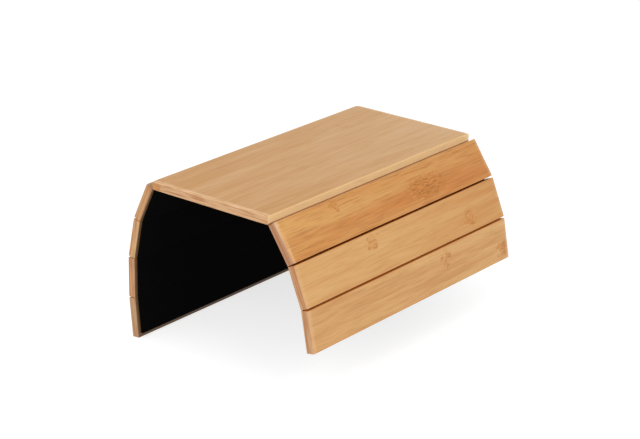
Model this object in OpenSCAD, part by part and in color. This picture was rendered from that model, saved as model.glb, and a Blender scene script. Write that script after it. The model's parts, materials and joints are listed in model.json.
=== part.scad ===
/* [Boards] */
// Length of every board, along the sofa arm
board_l = 350; // [200:5:500]
// Width of the top board
top_w = 163.4; // [110:0.2:260]
// Width of each side slat
slat_w = 46.4; // [30:0.2:80]
// Thickness of the bamboo
board_t = 10; // [6:0.5:16]
// Gap between neighbouring boards where the backing joins them
hinge_gap = 0.4; // [0.2:0.1:2]
// Chamfer that breaks every edge of a board
edge_break = 0.9; // [0.3:0.1:2]

/* [Backing] */
// Thickness of the black backing sheet
backing_t = 2; // [1:0.1:4]
// Bare bamboo left between the outer edge of the backing and the ends of the boards
backing_margin = 4.2; // [2:0.1:15]
// Space left between two glued stretches of the backing when their hinge is fully folded
fold_clearance = 0.4; // [0.2:0.1:1.5]

/* [Bends at rest] */
// Bend from the top board down to the first right slat
right_angle_1 = 56; // [0:0.5:90]
// Bend from the first right slat to the second
right_angle_2 = 12; // [0:0.5:25]
// Bend from the second right slat to the third
right_angle_3 = 12; // [0:0.5:25]
// Bend from the top board down to the first left slat
left_angle_1 = 64.5; // [0:0.5:90]
// Bend from the first left slat to the second
left_angle_2 = 13.5; // [0:0.5:25]
// Bend from the second left slat to the third
left_angle_3 = 11; // [0:0.5:25]
// Bend from the third left slat to the fourth
left_angle_4 = 6; // [0:0.5:25]
// Largest bend that any hinge is made for
fold_angle_max = 90; // [90:1:120]

/* [Hidden] */
left_angles = [left_angle_1, left_angle_2, left_angle_3, left_angle_4];
right_angles = [right_angle_1, right_angle_2, right_angle_3];

// Distance from one hinge line to the next
hinge_pitch = slat_w + hinge_gap;
// Length of the backing along the boards
backing_l = board_l - 2 * backing_margin;
// Unglued stretch of the backing on each side of a hinge line
flex_half = backing_t * tan(fold_angle_max / 2) + fold_clearance;

// Colours of the bamboo, board by board, and of the backing
top_tone = [0.83, 0.68, 0.49];
warm_tone = [0.81, 0.59, 0.37];
light_tone = [0.86, 0.68, 0.46];
mid_tone = [0.83, 0.63, 0.42];
backing_tone = [0.04, 0.04, 0.04];
strip_tone = [0.1, 0.1, 0.1];

// Rectangle with its corners cut off at 45 degrees, centred
module cut_rectangle(size_x, size_y) {
    half_x = size_x / 2;
    half_y = size_y / 2;
    polygon([
        [half_x - edge_break, half_y],
        [half_x, half_y - edge_break],
        [half_x, edge_break - half_y],
        [half_x - edge_break, -half_y],
        [edge_break - half_x, -half_y],
        [-half_x, edge_break - half_y],
        [-half_x, half_y - edge_break],
        [edge_break - half_x, half_y]
    ]);
}

// Board of the given width with all its edges broken, standing on z = 0 and centred in x and y
module board(width) {
    translate([0, 0, board_t / 2])
        intersection() {
            linear_extrude(height = board_t, center = true)
                cut_rectangle(width, board_l);
            rotate([90, 0, 0])
                linear_extrude(height = board_l, center = true)
                    cut_rectangle(width, board_t);
            rotate([90, 0, 90])
                linear_extrude(height = width, center = true)
                    cut_rectangle(board_l, board_t);
        }
}

// Moves its children from the first hinge line out to hinge line n of a row of slats.
// There x runs across slat n from its hinge, and z points out through its outer face.
module at_hinge(angles, n) {
    if (n == 1)
        translate([(top_w + hinge_gap) / 2, 0, backing_t])
            rotate([0, angles[0], 0])
                children();
    else
        at_hinge(angles, n - 1)
            translate([hinge_pitch, 0, 0])
                rotate([0, angles[n - 1], 0])
                    children();
}

// Right slats are placed as they are, left slats are their mirror image
module right_side(n) {
    at_hinge(right_angles, n)
        children();
}

module left_side(n) {
    mirror([1, 0, 0])
        at_hinge(left_angles, n)
            children();
}

// Slat, from just past its hinge line
module slat() {
    translate([hinge_pitch / 2, 0, 0])
        board(slat_w);
}

// Glued stretch of the backing under a slat. The last one ends short of the slat's lower edge.
module slat_backing(last) {
    end_x = last ? hinge_gap / 2 + slat_w - backing_margin : hinge_pitch - flex_half;
    translate([flex_half, -backing_l / 2, -backing_t])
        cube([end_x - flex_half, backing_l, backing_t]);
}

// Unglued stretch of the backing at a hinge line, from one glued stretch to the next.
// Its upper side follows the inner faces of the two boards, which meet at the bend.
module hinge_strip(angle) {
    rotate([90, 0, 0])
        linear_extrude(height = backing_l, center = true)
            polygon([
                [0, 0],
                [flex_half, 0],
                [flex_half, -backing_t],
                [
                    backing_t * sin(angle) - flex_half * cos(angle),
                    -flex_half * sin(angle) - backing_t * cos(angle)
                ],
                [-flex_half * cos(angle), -flex_half * sin(angle)]
            ]);
}

module top_board() {
    color(top_tone)
        translate([0, 0, backing_t])
            board(top_w);
}

module left_slat_1() {
    color(mid_tone)
        left_side(1)
            slat();
}

module left_slat_2() {
    color(light_tone)
        left_side(2)
            slat();
}

module left_slat_3() {
    color(warm_tone)
        left_side(3)
            slat();
}

module left_slat_4() {
    color(mid_tone)
        left_side(4)
            slat();
}

module right_slat_1() {
    color(warm_tone)
        right_side(1)
            slat();
}

module right_slat_2() {
    color(light_tone)
        right_side(2)
            slat();
}

module right_slat_3() {
    color(mid_tone)
        right_side(3)
            slat();
}

module top_backing() {
    width = top_w + hinge_gap - 2 * flex_half;
    color(backing_tone)
        translate([-width / 2, -backing_l / 2, 0])
            cube([width, backing_l, backing_t]);
}

module left_backing_1() {
    color(backing_tone)
        left_side(1)
            slat_backing(last = false);
}

module left_backing_2() {
    color(backing_tone)
        left_side(2)
            slat_backing(last = false);
}

module left_backing_3() {
    color(backing_tone)
        left_side(3)
            slat_backing(last = false);
}

module left_backing_4() {
    color(backing_tone)
        left_side(4)
            slat_backing(last = true);
}

module right_backing_1() {
    color(backing_tone)
        right_side(1)
            slat_backing(last = false);
}

module right_backing_2() {
    color(backing_tone)
        right_side(2)
            slat_backing(last = false);
}

module right_backing_3() {
    color(backing_tone)
        right_side(3)
            slat_backing(last = true);
}

module left_hinge_strip_1() {
    color(strip_tone)
        left_side(1)
            hinge_strip(left_angle_1);
}

module left_hinge_strip_2() {
    color(strip_tone)
        left_side(2)
            hinge_strip(left_angle_2);
}

module left_hinge_strip_3() {
    color(strip_tone)
        left_side(3)
            hinge_strip(left_angle_3);
}

module left_hinge_strip_4() {
    color(strip_tone)
        left_side(4)
            hinge_strip(left_angle_4);
}

module right_hinge_strip_1() {
    color(strip_tone)
        right_side(1)
            hinge_strip(right_angle_1);
}

module right_hinge_strip_2() {
    color(strip_tone)
        right_side(2)
            hinge_strip(right_angle_2);
}

module right_hinge_strip_3() {
    color(strip_tone)
        right_side(3)
            hinge_strip(right_angle_3);
}

top_board();
left_slat_1();
left_slat_2();
left_slat_3();
left_slat_4();
right_slat_1();
right_slat_2();
right_slat_3();
top_backing();
left_backing_1();
left_backing_2();
left_backing_3();
left_backing_4();
right_backing_1();
right_backing_2();
right_backing_3();
left_hinge_strip_1();
left_hinge_strip_2();
left_hinge_strip_3();
left_hinge_strip_4();
right_hinge_strip_1();
right_hinge_strip_2();
right_hinge_strip_3();
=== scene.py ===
import json
import math

import bmesh
import bpy
from mathutils import Matrix, Vector


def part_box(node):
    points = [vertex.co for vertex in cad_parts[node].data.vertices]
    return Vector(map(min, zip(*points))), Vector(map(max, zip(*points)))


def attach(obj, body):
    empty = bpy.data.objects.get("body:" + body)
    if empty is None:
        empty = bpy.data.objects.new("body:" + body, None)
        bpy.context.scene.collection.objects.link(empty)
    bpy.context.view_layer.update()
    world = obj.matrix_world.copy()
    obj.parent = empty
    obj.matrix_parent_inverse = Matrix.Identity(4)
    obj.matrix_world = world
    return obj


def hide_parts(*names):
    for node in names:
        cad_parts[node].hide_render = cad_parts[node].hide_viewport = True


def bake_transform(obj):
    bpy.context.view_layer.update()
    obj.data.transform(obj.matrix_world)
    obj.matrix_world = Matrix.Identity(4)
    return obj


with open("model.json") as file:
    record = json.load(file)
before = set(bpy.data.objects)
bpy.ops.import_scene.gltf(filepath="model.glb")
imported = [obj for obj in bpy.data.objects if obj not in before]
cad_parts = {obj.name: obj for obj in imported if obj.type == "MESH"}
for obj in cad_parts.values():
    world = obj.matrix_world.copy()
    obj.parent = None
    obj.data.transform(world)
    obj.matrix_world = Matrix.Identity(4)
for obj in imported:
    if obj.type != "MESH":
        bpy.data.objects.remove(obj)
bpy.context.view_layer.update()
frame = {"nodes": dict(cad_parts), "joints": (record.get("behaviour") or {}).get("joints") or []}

mm = 0.001

# Everything hangs on the frame's joints: where the hinge lines run and how far each is bent at rest
joints = {joint["name"]: joint for joint in frame["joints"]}
slatCount = {side: sum(name.startswith(side) for name in joints) for side in ("left", "right")}


# sRGB hex to the linear colour that Blender's sockets take
def linear(hexColour):
    channels = [int(hexColour[i:i + 2], 16) / 255 for i in (1, 3, 5)]
    return [c / 12.92 if c < 0.04045 else ((c + 0.055) / 1.055) ** 2.4 for c in channels] + [1]


# Adds one node: settings are its properties, inputs are values or links by socket name or number
def addNode(tree, kind, inputs=None, **settings):
    node = tree.nodes.new("ShaderNode" + kind)
    for key, value in settings.items():
        setattr(node, key, value)
    for key, value in (inputs or {}).items():
        if isinstance(value, bpy.types.NodeSocket):
            tree.links.new(value, node.inputs[key])
        else:
            node.inputs[key].default_value = value
    return node


def newMaterial(name):
    material = bpy.data.materials.new(name)
    material.use_nodes = True
    material.node_tree.nodes.clear()
    return material, material.node_tree


# Bend at rest, in radians: the lower limit of every joint is the tray laid flat
def restBend(side, n):
    return -math.radians(joints[f"{side}_hinge_{n}"]["range_deg"][0])


# Matrix of the board before hinge n, moved to that hinge: x runs on across the tray,
# z points out through the outer faces and z = 0 is the plane where the boards meet the backing
def beforeHinge(side, n):
    joint = joints[f"{side}_hinge_{n}"]
    turned = sum(restBend(side, k) for k in range(1, n))
    facing = Matrix.Rotation(math.pi if side == "left" else 0, 4, "Z")
    return (Matrix.Translation(joint["pos_m"])
            @ Matrix.Rotation(turned, 4, Vector(joint["axis"])) @ facing)


# The same for the slat that hangs on hinge n
def afterHinge(side, n):
    return beforeHinge(side, n) @ Matrix.Rotation(restBend(side, n), 4, "Y")


# The top board's matrix, how far hinge 1 is from the middle, and one hinge line from the next
topPlace = Matrix.Translation((0, 0, joints["left_hinge_1"]["pos_m"][2]))
hingeReach = joints["right_hinge_1"]["pos_m"][0]
hingePitch = math.dist(joints["right_hinge_2"]["pos_m"], joints["right_hinge_1"]["pos_m"])


# Extent of a CAD node along its own board's axes
def localBox(node, place):
    back = place.inverted()
    corners = [back @ v.co for v in frame["nodes"][node].data.vertices]
    return (Vector([min(c[i] for c in corners) for i in range(3)]),
            Vector([max(c[i] for c in corners) for i in range(3)]))


# Box between two corners, still in its own axes
def startBlock(low, high):
    bm = bmesh.new()
    bmesh.ops.create_cube(bm, size=1)
    bmesh.ops.scale(bm, vec=high - low, verts=bm.verts)
    bmesh.ops.translate(bm, vec=(low + high) / 2, verts=bm.verts)
    return bm


# Keeps where every point lies in the piece's own axes, in metres, for the material to read
def keepPlaces(bm, name, origin):
    layer = bm.verts.layers.float_vector.new(name)
    for v in bm.verts:
        v[layer] = v.co - origin


def finishPiece(bm, name, place, material, smooth=True):
    bmesh.ops.transform(bm, matrix=place, verts=bm.verts)
    for face in bm.faces:
        face.smooth = smooth
    mesh = bpy.data.meshes.new(name)
    bm.to_mesh(mesh)
    bm.free()
    mesh.materials.append(material)
    piece = bpy.data.objects.new(name, mesh)
    bpy.context.scene.collection.objects.link(piece)
    return piece


# Bamboo boards, 10 mm thick, glued up from flat-sawn strips. Every edge is eased, and the outer
# face falls away a little where the belt sander ran off it: at both ends, and all round the top board.
boardBuild = {
    "easeRadius": 0.6 * mm,
    "easeSegments": 4,
    "easeFrom": math.radians(50),  # edges sharper than this are eased
    "rollLength": 6 * mm,
    "rollDrop": 0.6 * mm,
    "rollCuts": 6,
}

# Clear satin lacquer over bamboo
lacquer = {
    "roughness": 0.42,
    "roughnessSwing": 0.10,
    "swingSpan": (0.3, 0.7),  # values of the streaks' noise over which the roughness swings
    "ior": 1.5,
    "coat": 0.12,
    "coatRoughness": 0.28,
    "grainDepth": 0.05 * mm,
    "grainShare": 0.6,
}

# What the wood of all the boards has in common, pattern by pattern. Sizes, widths, steps and wanders
# are in mm, across and along the grain where there are two. A noise also has its detail, its roughness
# and its shift of the board's seed. A pattern comes in between the two values of its span, and share is
# how much of it shows. A zone is where a tone starts and where it is full, in mm in from its edge.
wood = {
    "strip": {"width": 23.2, "grainShift": 400},  # each strip's grain comes from up to this far away
    "glueLine": {  # drawn a little wider than the real 0.1 mm, which is too fine to show
        "width": 0.35, "share": 0.25, "tone": "#8A5A2C",
    },
    "lean": {"halfWidth": 4},  # of the middle stretch where one side's tone goes over into the other's
    "band": {  # soft changes of tone
        "size": (13, 170), "shift": 0, "detail": 3, "roughness": 0.55,
        "span": (0.36, 0.66), "share": 0.45,
    },
    "streak": {  # bundles of fibres
        "size": (3.2, 60), "shift": 5, "detail": 3, "roughness": 0.6,
        "span": (0.35, 0.65), "share": 0.16,
    },
    "fibre": {  # dark fibres, as coarse as the picture can show, and most of them in warm streaks
        "size": (1.2, 26), "shift": 9, "detail": 2, "roughness": 0.6,
        "span": (0.46, 0.64), "share": 0.60, "tone": "#925200",
        "streakSpan": (0.40, 0.62), "streakShare": (0.35, 1),
    },
    "mark": {  # a growth node is an oval whose outline goes in and out in steps
        "step": 6, "wander": (13, 36),
        "edge": (0.55, 1.2), "middle": (0.25, 0.75),  # spans, as shares of the way out to the oval
        "layers": [  # tone, span of the dashes' noise and share: a tint, dark dashes and pale flecks
            ("#BA700C", (0.28, 0.50), 0.85),
            ("#8C5000", (0.48, 0.60), 0.70),
            ("#EEBC80", (0.40, 0.32), 0.28),
        ],
    },
    "dash": {  # short bent dashes in a growth node
        "size": (1.2, 7.5), "shift": 13, "detail": 2, "roughness": 0.6, "wander": (2, 7),
    },
    "side": {"topZone": (2.2, 0.1), "slatZone": (0.4, 0.1)},
    # painted shade: a dark line deep in the groove round the top board, where occlusion would darken it
    "grooveShadeLine": {"zone": (2.4, 1.2), "tone": "#A05400"},
    "end": {"zone": (0.7, 0.2)},
    "endLayer": {  # glued layers on a sawn end, across and through the board
        "size": (34, 2), "detail": 2, "span": (0.48, 0.64), "share": 0.9, "tone": "#A0622A",
    },
    "endLine": {  # the darker layer, and the share of its thickness that is full
        "wander": 0.8, "span": (0.3, 0.7), "core": 0.3, "tone": "#A05812",
    },
    "endDot": {  # fibre bundles cut square, with a span in shares of their spacing
        "size": 0.9, "span": (0.12, 0.34), "share": 0.28, "tone": "#8F5A30",
    },
    "arris": {"alongZone": (6.5, 2.5), "throughZone": (1.7, 1.1), "share": (0.3, 1.3)},
    "sanding": {  # marks across the grain on the outer edge at the ends, which break up its painted highlight
        "size": (24, 1.6), "shift": 17, "detail": 2, "roughness": 0.6, "span": (0.40, 0.58),
    },
    # painted shade on the bare inner margin round the backing, under the tray
    "inner": {"zone": (0.5, 0.1), "tone": "#664620"},
}

# Look of every board. Tones are of the bare wood under the lacquer, except where light or shade is
# painted in, and end is the sawn end's tone.
# bands, strips and fibre are how much those patterns show. lean makes the side at +across warmer, which
# is a slat's lower half, and drift the end at +along. arris is the tone of the outer edge at the ends,
# with a painted highlight in the pale ones, and glow how much it shows. grooveShadeLine is how dark the
# painted shade line deep in the groove is. endLine is a layer of the
# ends: its height over the middle and half thickness in mm, and strength. nearSide and farSide are the
# long edges at -across and +across, as outer and inner tone, with painted light and shade in them. Marks
# are growth nodes: across, along, half width, half length in mm, strength, and how hollow the middle is.
boardLooks = {
    "top_board": {
        "pale": "#C8985C", "warm": "#BC822F", "end": "#C79B6E", "fibre": 0.30, "bands": 0.7,
        "strips": 0.18, "lean": -0.05, "drift": -0.35, "glow": 0.55, "grooveShadeLine": 0.75,
        "endLine": (3.2, 0.8, 0.25), "seed": 3.1,
        # painted light: the pale side tones, palest deep in the groove beside right slat 1, and the pale
        # arris highlight
        "arris": "#E6C096", "nearSide": ("#DDB382", "#DDB382"), "farSide": ("#E2BA82", "#FFE8B8"),
        "marks": [(-46, 98, 10, 5, 0.3, 0.4), (12, -38, 10, 5, 0.3, 0.4),
                  (-76, -176, 8, 9, 0.9, 0)],
    },
    # painted bounced light: the warm bright side tones in the grooves between the slats
    "right_slat_1": {
        "pale": "#CA934C", "warm": "#BC7325", "end": "#A87C5C", "fibre": 1.0, "bands": 0.8,
        "strips": 0.12, "lean": 0.30, "drift": 0.35, "glow": 0.35, "grooveShadeLine": 0,
        "endLine": (-0.4, 1.1, 0.85), "seed": 11.7,
        "arris": "#E6C096", "nearSide": ("#D2A268", "#C08A50"), "farSide": ("#D08A44", "#D08A44"),
        "marks": [(5.0, 62, 14, 34, 1.0, 0), (-14.9, -84.9, 9, 6, 0.7, 0.2)],
    },
    "right_slat_2": {
        "pale": "#CC9C5E", "warm": "#BF823D", "end": "#BC8B5E", "fibre": 0.40, "bands": 0.6,
        "strips": 0.12, "lean": 0.05, "drift": 0.25, "glow": 0.12, "grooveShadeLine": 0,
        "endLine": (2.2, 0.9, 0.6), "seed": 23.4,
        "arris": "#E6C096", "nearSide": ("#D08A44", "#D08A44"), "farSide": ("#D08A44", "#D08A44"),
        "marks": [(-11.9, -53.6, 9, 7, 0.85, 0.5), (6.9, 113.3, 11, 8, 1.0, 0.8)],
    },
    "right_slat_3": {
        "pale": "#D2A363", "warm": "#BD8443", "end": "#BD8F62", "fibre": 0.50, "bands": 0.7,
        "strips": 0.12, "lean": 0.10, "drift": 0.0, "glow": 0.2, "grooveShadeLine": 0,
        "endLine": (-2.2, 1.2, 0.55), "seed": 31.9,
        "arris": "#E6C096", "nearSide": ("#D08A44", "#D08A44"), "farSide": ("#D8B080", "#B48858"),
        "marks": [(-8.6, 60.5, 12, 5, 0.8, 0.2), (10, 166, 10, 12, 0.9, 0)],
    },
    "left_slat_1": {
        "pale": "#CA9B5D", "warm": "#B77C3D", "end": "#BC8D5A", "fibre": 0.5, "bands": 0.7,
        "strips": 0.12, "lean": 0.15, "drift": 0.2, "glow": 0.6, "grooveShadeLine": 0,
        "endLine": (0.5, 1.0, 0.4), "seed": 41.3,
        # painted shade: the darker near side under the top board
        "arris": "#966A3E", "nearSide": ("#B08A60", "#A07A50"), "farSide": ("#C48A50", "#C48A50"),
        "marks": [(-11, 40, 10, 7, 0.8, 0.5), (12, -120, 10, 6, 0.6, 0.3)],
    },
    "left_slat_2": {
        "pale": "#CFA061", "warm": "#BC8342", "end": "#C69A68", "fibre": 0.40, "bands": 0.6,
        "strips": 0.12, "lean": -0.1, "drift": -0.15, "glow": 0.6, "grooveShadeLine": 0,
        "endLine": (2.0, 0.9, 0.3), "seed": 52.8,
        "arris": "#966A3E", "nearSide": ("#C48A50", "#C48A50"), "farSide": ("#C48A50", "#C48A50"),
        "marks": [(10, 84, 10, 7, 0.7, 0.7), (-12, -66, 10, 5, 0.5, 0.2)],
    },
    "left_slat_3": {
        "pale": "#C89554", "warm": "#B4743A", "end": "#BC8A5D", "fibre": 0.8, "bands": 0.9,
        "strips": 0.12, "lean": 0.2, "drift": -0.2, "glow": 0.6, "grooveShadeLine": 0,
        "endLine": (-1.5, 1.0, 0.35), "seed": 63.5,
        "arris": "#966A3E", "nearSide": ("#C48A50", "#C48A50"), "farSide": ("#C48A50", "#C48A50"),
        "marks": [(-10, 126, 10, 7, 0.8, 0.6), (11, -14, 11, 20, 0.9, 0)],
    },
    "left_slat_4": {
        "pale": "#CC9C5D", "warm": "#B97F3F", "end": "#B28C62", "fibre": 0.45, "bands": 0.7,
        "strips": 0.12, "lean": 0.1, "drift": 0.1, "glow": 0.6, "grooveShadeLine": 0,
        "endLine": (1.0, 1.2, 0.4), "seed": 74.2,
        "arris": "#966A3E", "nearSide": ("#C48A50", "#C48A50"), "farSide": ("#D8B080", "#B48858"),
        "marks": [(11, 20, 10, 7, 0.7, 0.4), (-11, -140, 10, 6, 0.6, 0.6)],
    },
}


# Noise stretched along the grain. Through the board it is as fine as across it.
def grainNoise(tree, place, pattern, seed):
    across, along = (1 / (size * mm) for size in wood[pattern]["size"])
    stretched = addNode(tree, "VectorMath", {0: place, 1: (across, along, across)},
                        operation="MULTIPLY").outputs[0]
    return addNode(tree, "TexNoise", {"Vector": stretched, "W": seed + wood[pattern]["shift"],
                                      "Scale": 1, "Detail": wood[pattern]["detail"],
                                      "Roughness": wood[pattern]["roughness"]},
                   noise_dimensions="4D").outputs["Fac"]


# The glued strip that a point is in: its random tone, its own place in the grain, and the glue line
def gluedStrip(tree, at, look, shift):
    strip, glueLine = wood["strip"], wood["glueLine"]
    stripAt = addNode(tree, "Math", {0: at["across"], 1: strip["width"] * mm},
                      operation="DIVIDE").outputs[0]
    stripAt = addNode(tree, "Math", {0: stripAt, 1: shift}, operation="ADD").outputs[0]
    index = addNode(tree, "Math", {0: stripAt}, operation="FLOOR").outputs[0]
    chance = addNode(tree, "TexWhiteNoise", {"Vector": index, "W": look["seed"]},
                     noise_dimensions="4D").outputs
    own = addNode(tree, "VectorMath", {0: chance["Color"], 1: [strip["grainShift"] * mm] * 3},
                  operation="MULTIPLY").outputs[0]
    grainPlace = addNode(tree, "VectorMath", {0: at["place"], 1: own}, operation="ADD").outputs[0]
    fromGlue = addNode(tree, "Math", {0: stripAt, 1: 1}, operation="PINGPONG").outputs[0]
    glue = addNode(tree, "MapRange", {"Value": fromGlue, "From Min": 0,
                                      "From Max": glueLine["width"] / strip["width"],
                                      "To Min": glueLine["share"], "To Max": 0}).outputs[0]
    return chance["Value"], grainPlace, glue


# Plain wood, between the board's pale and warm tones
def plainWood(tree, at, look, half, stripTone, band, streak):
    swing = wood["band"]["share"] * look["bands"]
    least, most = wood["band"]["span"]
    tone = addNode(tree, "MapRange", {"Value": band, "From Min": least, "From Max": most,
                                      "To Min": 0.5 - swing, "To Max": 0.5 + swing}).outputs[0]
    leanWidth = wood["lean"]["halfWidth"] * mm
    swings = [  # value, the two ends of its range, and how far the tone swings between them
        (stripTone, 0, 1, look["strips"], "LINEAR"),
        (streak, *wood["streak"]["span"], wood["streak"]["share"], "LINEAR"),
        (at["across"], -leanWidth, leanWidth, look["lean"], "SMOOTHSTEP"),
        (at["along"], -half[1], half[1], look["drift"], "LINEAR"),
    ]
    for value, least, most, swing, blend in swings:
        added = addNode(tree, "MapRange", {"Value": value, "From Min": least, "From Max": most,
                                           "To Min": -swing, "To Max": swing},
                        interpolation_type=blend).outputs[0]
        tone = addNode(tree, "Math", {0: tone, 1: added}, operation="ADD").outputs[0]
    warmth = addNode(tree, "Clamp", {"Value": tone}).outputs[0]
    return addNode(tree, "Mix", {"Factor": warmth, 6: linear(look["pale"]), 7: linear(look["warm"])},
                   data_type="RGBA").outputs[2]


# The long edges, with light and shade painted into their tones: paler round the top board and paler still
# deep in its groove (painted light), warm and bright in the grooves between the slats (painted bounced
# light), darker deeper into some other grooves (painted shade), and with a dark painted shade line deep
# in the groove round the top board
def sideToneAndPaintedLight(tree, at, look, half, zone):
    start, full = wood["side"][zone]
    atSide = addNode(tree, "MapRange", {"Value": at["acrossSize"], "From Min": half[0] - start * mm,
                                        "From Max": half[0] - full * mm},
                     interpolation_type="SMOOTHSTEP").outputs[0]
    depth = addNode(tree, "MapRange", {"Value": at["through"], "From Min": half[2],
                                       "From Max": -half[2]}).outputs[0]
    near, far = (addNode(tree, "Mix", {"Factor": depth, 6: linear(look[side][0]),
                                       7: linear(look[side][1])}, data_type="RGBA").outputs[2]
                 for side in ("nearSide", "farSide"))
    atFar = addNode(tree, "Math", {0: at["across"], 1: 0}, operation="GREATER_THAN").outputs[0]
    sides = addNode(tree, "Mix", {"Factor": atFar, 6: near, 7: far}, data_type="RGBA").outputs[2]
    # painted shade: the dark line deep in the groove
    start, full = wood["grooveShadeLine"]["zone"]
    deep = addNode(tree, "MapRange", {"Value": at["through"], "From Min": -half[2] + full * mm,
                                      "From Max": -half[2] + start * mm,
                                      "To Min": look["grooveShadeLine"], "To Max": 0},
                   interpolation_type="SMOOTHSTEP").outputs[0]
    tone = addNode(tree, "Mix", {"Factor": deep, 6: sides, 7: linear(wood["grooveShadeLine"]["tone"])},
                   data_type="RGBA").outputs[2]
    return atSide, tone


# Fine brown fibres, strongest where the wood is warm
def fibrePattern(tree, look, fibre, streak):
    least, most = wood["fibre"]["span"]
    shown = addNode(tree, "MapRange", {"Value": fibre, "From Min": least, "From Max": most, "To Min": 0,
                                       "To Max": wood["fibre"]["share"] * look["fibre"]}).outputs[0]
    least, most = wood["fibre"]["streakSpan"]
    faintest, strongest = wood["fibre"]["streakShare"]
    inStreak = addNode(tree, "MapRange", {"Value": streak, "From Min": least, "From Max": most,
                                          "To Min": faintest, "To Max": strongest}).outputs[0]
    share = addNode(tree, "Math", {0: shown, 1: inStreak}, operation="MULTIPLY").outputs[0]
    return share, linear(wood["fibre"]["tone"])


# Sawn ends: layers through the thickness, one of them darker, and dots of cut fibre bundles
def endPattern(tree, at, look, half):
    start, full = wood["end"]["zone"]
    atEnd = addNode(tree, "MapRange", {"Value": at["alongSize"], "From Min": half[1] - start * mm,
                                       "From Max": half[1] - full * mm}).outputs[0]
    across, through = (1 / (size * mm) for size in wood["endLayer"]["size"])
    layerPlace = addNode(tree, "VectorMath", {0: at["place"], 1: (across, 0, through)},
                         operation="MULTIPLY").outputs[0]
    layers = addNode(tree, "TexNoise", {"Vector": layerPlace, "W": look["seed"], "Scale": 1,
                                        "Detail": wood["endLayer"]["detail"]},
                     noise_dimensions="4D").outputs["Fac"]
    least, most = wood["endLayer"]["span"]
    layer = addNode(tree, "MapRange", {"Value": layers, "From Min": least, "From Max": most, "To Min": 0,
                                       "To Max": wood["endLayer"]["share"]}).outputs[0]

    height, halfThickness, strength = look["endLine"]
    wander = wood["endLine"]["wander"] * mm
    least, most = wood["endLine"]["span"]
    waved = addNode(tree, "MapRange", {"Value": layers, "From Min": least, "From Max": most,
                                       "To Min": -wander, "To Max": wander}).outputs[0]
    raised = addNode(tree, "Math", {0: at["through"], 1: waved}, operation="ADD").outputs[0]
    fromLine = addNode(tree, "Math", {0: raised, 1: height * mm}, operation="SUBTRACT").outputs[0]
    fromLine = addNode(tree, "Math", {0: fromLine}, operation="ABSOLUTE").outputs[0]
    core = wood["endLine"]["core"] * halfThickness * mm
    line = addNode(tree, "MapRange", {"Value": fromLine, "From Min": core,
                                      "From Max": halfThickness * mm, "To Min": strength,
                                      "To Max": 0}).outputs[0]

    dotSize = 1 / (wood["endDot"]["size"] * mm)
    dotPlace = addNode(tree, "VectorMath", {0: at["place"], 1: (dotSize, 0, dotSize)},
                       operation="MULTIPLY").outputs[0]
    fromDot = addNode(tree, "TexVoronoi", {"Vector": dotPlace, "Scale": 1}).outputs["Distance"]
    least, most = wood["endDot"]["span"]
    dot = addNode(tree, "MapRange", {"Value": fromDot, "From Min": least, "From Max": most,
                                     "To Min": wood["endDot"]["share"], "To Max": 0}).outputs[0]
    colour = linear(look["end"])
    for share, pattern in ((layer, "endLayer"), (line, "endLine"), (dot, "endDot")):
        colour = addNode(tree, "Mix", {"Factor": share, 6: colour, 7: linear(wood[pattern]["tone"])},
                         data_type="RGBA").outputs[2]
    return atEnd, colour


# One growth node of the culm: how strongly it shows inside its oval, less in a hollow middle
def growthMark(tree, place, mark):
    across, along, halfWidth, halfLength, strength, hollow = mark
    moved = addNode(tree, "VectorMath", {0: place, 1: (across * mm, along * mm, 0)},
                    operation="SUBTRACT").outputs[0]
    oval = addNode(tree, "VectorMath", {0: moved, 1: (1 / (halfWidth * mm), 1 / (halfLength * mm), 0)},
                   operation="MULTIPLY").outputs[0]
    distance = addNode(tree, "VectorMath", {0: oval}, operation="LENGTH").outputs["Value"]
    least, most = wood["mark"]["edge"]
    fading = addNode(tree, "MapRange", {"Value": distance, "From Min": least, "From Max": most,
                                        "To Min": strength, "To Max": 0},
                     interpolation_type="SMOOTHSTEP").outputs[0]
    least, most = wood["mark"]["middle"]
    filled = addNode(tree, "MapRange", {"Value": distance, "From Min": least, "From Max": most,
                                        "To Min": 1 - hollow, "To Max": 1},
                     interpolation_type="SMOOTHSTEP").outputs[0]
    return addNode(tree, "Math", {0: fading, 1: filled}, operation="MULTIPLY").outputs[0]


# All growth nodes of a board, with ragged outlines and bent dashes
def markPatterns(tree, at, look):
    steps = addNode(tree, "TexNoise", {"Vector": at["place"], "W": look["seed"],
                                       "Scale": 1 / (wood["mark"]["step"] * mm), "Detail": 2},
                    noise_dimensions="4D").outputs["Color"]
    offset = addNode(tree, "VectorMath", {0: steps, 1: (0.5, 0.5, 0.5)}, operation="SUBTRACT").outputs[0]
    places = {}
    for pattern in ("mark", "dash"):
        across, along = wood[pattern]["wander"]
        step = addNode(tree, "VectorMath", {0: offset, 1: (across * mm, along * mm, 0)},
                       operation="MULTIPLY").outputs[0]
        places[pattern] = addNode(tree, "VectorMath", {0: at["place"], 1: step},
                                  operation="ADD").outputs[0]
    marks = 0
    for mark in look["marks"]:
        oval = growthMark(tree, places["mark"], mark)
        marks = addNode(tree, "Math", {0: marks, 1: oval}, operation="MAXIMUM").outputs[0]
    dash = grainNoise(tree, places["dash"], "dash", look["seed"])
    patterns = []
    for tone, (least, most), share in wood["mark"]["layers"]:
        shown = addNode(tree, "MapRange", {"Value": dash, "From Min": least, "From Max": most,
                                           "To Min": 0, "To Max": share}).outputs[0]
        inMark = addNode(tree, "Math", {0: shown, 1: marks}, operation="MULTIPLY").outputs[0]
        patterns.append((inMark, linear(tone)))
    return patterns
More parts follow.
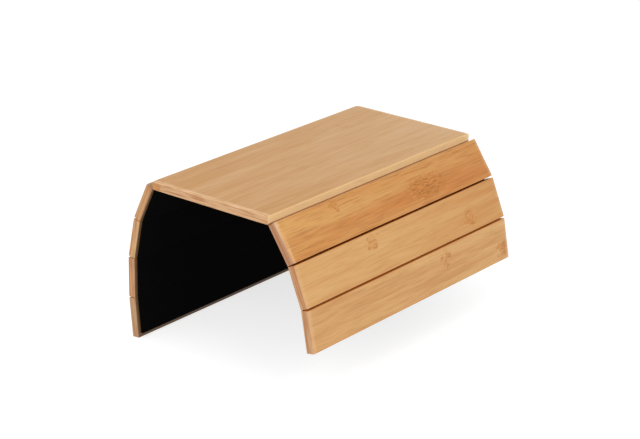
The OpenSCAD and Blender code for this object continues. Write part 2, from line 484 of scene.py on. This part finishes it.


# The outer edge at each end gets another tone, which fades into the outer face: on the pale boards a
# painted highlight where the rounded edge catches the light, broken up by sanding marks
def arrisSandingAndHighlight(tree, at, look, half):
    start, full = wood["arris"]["alongZone"]
    nearEnd = addNode(tree, "MapRange", {"Value": at["alongSize"], "From Min": half[1] - start * mm,
                                         "From Max": half[1] - full * mm},
                      interpolation_type="SMOOTHSTEP").outputs[0]
    start, full = wood["arris"]["throughZone"]
    nearOuter = addNode(tree, "MapRange", {"Value": at["through"], "From Min": half[2] - start * mm,
                                           "From Max": half[2] - full * mm}).outputs[0]
    atArris = addNode(tree, "Math", {0: nearEnd, 1: nearOuter}, operation="MULTIPLY").outputs[0]
    sanding = grainNoise(tree, at["place"], "sanding", look["seed"])
    least, most = wood["sanding"]["span"]
    faintest, strongest = (share * look["glow"] for share in wood["arris"]["share"])
    shown = addNode(tree, "MapRange", {"Value": sanding, "From Min": least, "From Max": most,
                                       "To Min": faintest, "To Max": strongest}).outputs[0]
    share = addNode(tree, "Math", {0: atArris, 1: shown}, operation="MULTIPLY").outputs[0]
    return share, linear(look["arris"])


# The inner face, where it shows round the backing, is darkened with painted shade of the tray's underside
def innerPaintedShade(tree, at, half):
    start, full = wood["inner"]["zone"]
    atInner = addNode(tree, "MapRange", {"Value": at["through"], "From Min": -half[2] + full * mm,
                                         "From Max": -half[2] + start * mm, "To Min": 1,
                                         "To Max": 0}).outputs[0]
    return atInner, linear(wood["inner"]["tone"])


# Solid strip bamboo, planed and sanded, under clear satin lacquer: long soft streaks in honey
# tones, short brown dashes at the growth nodes, and pale sawn ends with the strips' layers, with light
# and shade painted on the edges and the inner face
def bambooMaterial(name, look, half):
    material, tree = newMaterial(f"satin_lacquered_bamboo_{name}")
    isTop = name == "top_board"
    place = addNode(tree, "Attribute", attribute_name="grain").outputs["Vector"]
    across, along, through = addNode(tree, "SeparateXYZ", {0: place}).outputs
    acrossSize, alongSize = (addNode(tree, "Math", {0: axis}, operation="ABSOLUTE").outputs[0]
                             for axis in (across, along))
    at = {"place": place, "across": across, "along": along, "through": through,
          "acrossSize": acrossSize, "alongSize": alongSize}

    # a strip lies on the top board's middle line, and a glue line on the slats'
    stripTone, grainPlace, glue = gluedStrip(tree, at, look, 0.5 if isTop else 0)
    band, streak, fibre = (grainNoise(tree, grainPlace, pattern, look["seed"])
                           for pattern in ("band", "streak", "fibre"))
    colour = plainWood(tree, at, look, half, stripTone, band, streak)
    patterns = [  # each as how much it shows and its tone, from the lowest up
        sideToneAndPaintedLight(tree, at, look, half, "topZone" if isTop else "slatZone"),
        fibrePattern(tree, look, fibre, streak),
        (glue, linear(wood["glueLine"]["tone"])),
        endPattern(tree, at, look, half),
        *markPatterns(tree, at, look),
        arrisSandingAndHighlight(tree, at, look, half),
        innerPaintedShade(tree, at, half),
    ]
    for share, tone in patterns:
        colour = addNode(tree, "Mix", {"Factor": share, 6: colour, 7: tone}, data_type="RGBA").outputs[2]

    swing = lacquer["roughnessSwing"] / 2
    least, most = lacquer["swingSpan"]
    gloss = addNode(tree, "MapRange", {"Value": streak, "From Min": least, "From Max": most,
                                       "To Min": lacquer["roughness"] - swing,
                                       "To Max": lacquer["roughness"] + swing}).outputs[0]
    relief = addNode(tree, "Bump", {"Height": fibre, "Distance": lacquer["grainDepth"],
                                    "Strength": lacquer["grainShare"]}).outputs[0]
    shader = addNode(tree, "BsdfPrincipled", {"Base Color": colour, "Roughness": gloss,
                                              "IOR": lacquer["ior"], "Coat Weight": lacquer["coat"],
                                              "Coat Roughness": lacquer["coatRoughness"],
                                              "Normal": relief})
    addNode(tree, "OutputMaterial", {"Surface": shader.outputs[0]})
    return material


# One board: a block whose outer face is rolled off at the ends, with all its edges eased
def makeBoard(node, place, body, rollSides):
    low, high = localBox(node, place)
    centre = (low + high) / 2
    half = (high - low) / 2
    bm = startBlock(low, high)
    rolled = [0, 1] if rollSides else [1]
    for axis in rolled:
        for end in (-1, 1):
            for k in range(boardBuild["rollCuts"]):
                cut = half[axis] - boardBuild["rollLength"] * (k + 1) / boardBuild["rollCuts"]
                normal = [float(i == axis) for i in range(3)]
                bmesh.ops.bisect_plane(bm, geom=bm.verts[:] + bm.edges[:] + bm.faces[:],
                                       plane_co=[c + end * cut * n for c, n in zip(centre, normal)],
                                       plane_no=normal)
    for v in bm.verts:
        if v.co.z > centre.z:
            for axis in rolled:
                fromEdge = half[axis] - abs(v.co[axis] - centre[axis])
                share = max(0, 1 - fromEdge / boardBuild["rollLength"])
                v.co.z -= boardBuild["rollDrop"] * share ** 2
    sharp = [e for e in bm.edges if e.calc_face_angle() > boardBuild["easeFrom"]]
    bmesh.ops.bevel(bm, geom=sharp, offset=boardBuild["easeRadius"], offset_type="OFFSET",
                    segments=boardBuild["easeSegments"], profile=0.5, affect="EDGES", material=-1)
    keepPlaces(bm, "grain", centre)
    piece = finishPiece(bm, f"bamboo_{node}", place, bambooMaterial(node, boardLooks[node], half))
    piece.modifiers.new("even shading", "WEIGHTED_NORMAL")
    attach(piece, body)
    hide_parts(node)


# Black non-slip backing: one sheet of dense needled felt, 2 mm thick, glued under all the boards
backing = {
    "tone": "#050505",
    "fleck": "#0B0A0A",
    "fleckSpan": (0.16, 0.42),  # values of the felt's noise between which it gets paler
    "roughness": 0.95,
    "specular": 0.03,
    "tuft": 0.9,  # mm between the felt's tufts
    "fibre": (0.5, 3.5),  # mm, fibres drawn coarser than the real 0.02 mm to show at all
    "curl": 1.5,  # distortion of the fibres
    "depth": 0.18 * mm,
    "edgeRadius": 0.25 * mm,
    "edgeSegments": 2,
    "stripCuts": 8,
}
panelDepth = localBox("top_backing", topPlace)[0].z


# Dense black needled felt: matt, nearly no sheen, with small tufts and stray fibres
def feltMaterial():
    material, tree = newMaterial("black_needled_felt")
    place = addNode(tree, "Attribute", attribute_name="sheetPlace").outputs["Vector"]
    tufts = addNode(tree, "TexNoise", {"Vector": place, "Scale": 1 / (backing["tuft"] * mm),
                                       "Detail": 3, "Roughness": 0.6}).outputs["Fac"]
    across, along = (1 / (size * mm) for size in backing["fibre"])
    stretched = addNode(tree, "VectorMath", {0: place, 1: (across, along, across)},
                        operation="MULTIPLY").outputs[0]
    fibres = addNode(tree, "TexNoise", {"Vector": stretched, "Scale": 1, "Detail": 2,
                                        "Distortion": backing["curl"]}).outputs["Fac"]
    mixed = addNode(tree, "Math", {0: tufts, 1: fibres}, operation="MULTIPLY").outputs[0]
    flecks = addNode(tree, "MapRange", {"Value": mixed, "From Min": backing["fleckSpan"][0],
                                        "From Max": backing["fleckSpan"][1]}).outputs[0]
    colour = addNode(tree, "Mix", {"Factor": flecks, 6: linear(backing["tone"]),
                                   7: linear(backing["fleck"])}, data_type="RGBA").outputs[2]
    relief = addNode(tree, "Bump", {"Height": mixed, "Distance": backing["depth"], "Strength": 1.0})
    shader = addNode(tree, "BsdfPrincipled", {"Base Color": colour, "Roughness": backing["roughness"],
                                              "Specular IOR Level": backing["specular"],
                                              "Normal": relief.outputs[0]})
    addNode(tree, "OutputMaterial", {"Surface": shader.outputs[0]})
    return material


# Stretch of the sheet glued to one board. It starts at sheetStart across the unrolled sheet.
def makePanel(node, place, body, sheetStart, material):
    low, high = localBox(node, place)
    bm = startBlock(low, high)
    middle = (low.z + high.z) / 2
    # only the underside's two ends are rounded, because its long edges meet the hinge strips
    endEdges = [e for e in bm.edges if all(v.co.z < middle for v in e.verts)
                and abs(e.verts[0].co.y - e.verts[1].co.y) < mm]
    bmesh.ops.bevel(bm, geom=endEdges, offset=backing["edgeRadius"], offset_type="OFFSET",
                    segments=backing["edgeSegments"], profile=0.5, affect="EDGES", material=-1)
    keepPlaces(bm, "sheetPlace", Vector((-sheetStart, 0, 0)))
    piece = finishPiece(bm, f"felt_{node}", place, material, smooth=False)
    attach(piece, body)
    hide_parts(node)


# Smooth step from 0 to 1
def stepUp(t):
    t = min(max(t, 0), 1)
    return t * t * (3 - 2 * t)


# Free stretch of the sheet that bends at one hinge line: made flat, then rolled round the hinge
def makeHingeStrip(side, n, sheetStart, material):
    node = f"{side}_hinge_strip_{n}"
    place = beforeHinge(side, n)
    low, high = localBox(node, place)
    reach, cuts = -low.x, backing["stripCuts"]
    bm = startBlock(Vector((-reach, low.y, panelDepth)), Vector((reach, high.y, 0)))
    for i in range(1, cuts):
        bmesh.ops.bisect_plane(bm, geom=bm.verts[:] + bm.edges[:] + bm.faces[:],
                               plane_co=((2 * i / cuts - 1) * reach, 0, 0), plane_no=(1, 0, 0))
    keepPlaces(bm, "sheetPlace", Vector((-sheetStart, 0, 0)))
    bend = restBend(side, n)
    for x in sorted({round(v.co.x, 6) for v in bm.verts}):
        column = [v for v in bm.verts if abs(v.co.x - x) < 1e-5]
        turn = Matrix.Rotation(bend * stepUp((x + reach) / (2 * reach)), 3, "Y")
        bmesh.ops.rotate(bm, cent=(0, 0, 0), matrix=turn, verts=column)
    piece = finishPiece(bm, f"felt_{node}", place, material, smooth=False)
    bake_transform(piece)
    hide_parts(node)


makeBoard("top_board", topPlace, "top", True)
for side, count in slatCount.items():
    for n in range(1, count + 1):
        makeBoard(f"{side}_slat_{n}", afterHinge(side, n), f"{side}_{n}", False)
print("boards made")

felt = feltMaterial()
makePanel("top_backing", topPlace, "top", 0, felt)
for side, count in slatCount.items():
    for n in range(1, count + 1):
        sheetStart = hingeReach + (n - 1) * hingePitch
        makePanel(f"{side}_backing_{n}", afterHinge(side, n), f"{side}_{n}",
                  sheetStart, felt)
        makeHingeStrip(side, n, sheetStart, felt)
print("backing made")


# Camera at the photograph's place, in metres, degrees and mm
camera = {
    "place": (1.3264, -1.6001, 0.7348),
    "azimuth": 39.53,
    "elevation": 21.0,
    "roll": 0.30,
    "lens": 112.1,
    "sensor": 36,
}
cameraData = bpy.data.cameras.new("camera")
cameraData.lens = camera["lens"]
cameraData.sensor_width = camera["sensor"]
cameraData.sensor_fit = "HORIZONTAL"
cameraObject = bpy.data.objects.new("camera", cameraData)
cameraObject.matrix_world = (Matrix.Translation(camera["place"])
                             @ Matrix.Rotation(math.radians(camera["azimuth"]), 4, "Z")
                             @ Matrix.Rotation(math.radians(90 - camera["elevation"]), 4, "X")
                             @ Matrix.Rotation(math.radians(camera["roll"]), 4, "Z"))
bpy.context.scene.collection.objects.link(cameraObject)
bpy.context.scene.camera = cameraObject

# Plain white floor and soft light from all round, with one lamp at the right and one in front
studio = {
    "floorSize": 12,  # metres
    "floorTone": "#FFFFFF",
    "floorGlow": 1.36,  # what the camera sees of the floor is this white
    "floorShare": 0.50,  # in this share, and the rest is the floor's own light and shadow
    "ambient": 0.78,
    "lamps": {  # place and size in metres, and power in watts
        "right lamp": ((2.5, -0.5, 1.5), 1.6, 17),
        "front lamp": ((0.5, -2.6, 1.9), 1.8, 30),
    },
}


# 1 where the camera sees a surface, straight or mirrored or through something, and else 0
def seenByCamera(tree):
    rays = addNode(tree, "LightPath").outputs
    seen = rays["Is Camera Ray"]
    for other in ("Is Glossy Ray", "Is Transmission Ray"):
        seen = addNode(tree, "Math", {0: seen, 1: rays[other]}, operation="MAXIMUM").outputs[0]
    return seen


# Matt white floor: white to the camera, with the object's shadow left in it
def floorMaterial():
    material, tree = newMaterial("matt_white_floor")
    diffuse = addNode(tree, "BsdfDiffuse", {"Color": linear(studio["floorTone"])})
    glow = addNode(tree, "Emission", {"Color": (1, 1, 1, 1), "Strength": studio["floorGlow"]})
    share = addNode(tree, "Math", {0: seenByCamera(tree), 1: studio["floorShare"]}, operation="MULTIPLY")
    both = addNode(tree, "MixShader", {0: share.outputs[0], 1: diffuse.outputs[0],
                                       2: glow.outputs[0]})
    addNode(tree, "OutputMaterial", {"Surface": both.outputs[0]})
    return material


bm = bmesh.new()
bmesh.ops.create_grid(bm, x_segments=1, y_segments=1, size=studio["floorSize"] / 2)
lowest = min(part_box(node)[0].z for node in frame["nodes"])
floor = finishPiece(bm, "floor", Matrix.Translation((0, 0, lowest)), floorMaterial(), smooth=False)

world = bpy.data.worlds.new("studio")
world.use_nodes = True
bpy.context.scene.world = world
tree = world.node_tree
tree.nodes.clear()
strength = addNode(tree, "MapRange", {"Value": seenByCamera(tree), "To Min": studio["ambient"],
                                      "To Max": 1})
sky = addNode(tree, "Background", {"Color": (1, 1, 1, 1), "Strength": strength.outputs[0]})
addNode(tree, "OutputWorld", {"Surface": sky.outputs[0]})

for name, (place, size, power) in studio["lamps"].items():
    lampData = bpy.data.lights.new(name, "AREA")
    lampData.shape = "DISK"
    lampData.size = size
    lampData.energy = power
    lamp = bpy.data.objects.new(name, lampData)
    aim = (-Vector(place)).to_track_quat("-Z", "Y").to_matrix().to_4x4()
    lamp.matrix_world = Matrix.Translation(place) @ aim
    bpy.context.scene.collection.objects.link(lamp)
bpy.context.scene.view_settings.view_transform = "Standard"
print("studio made")
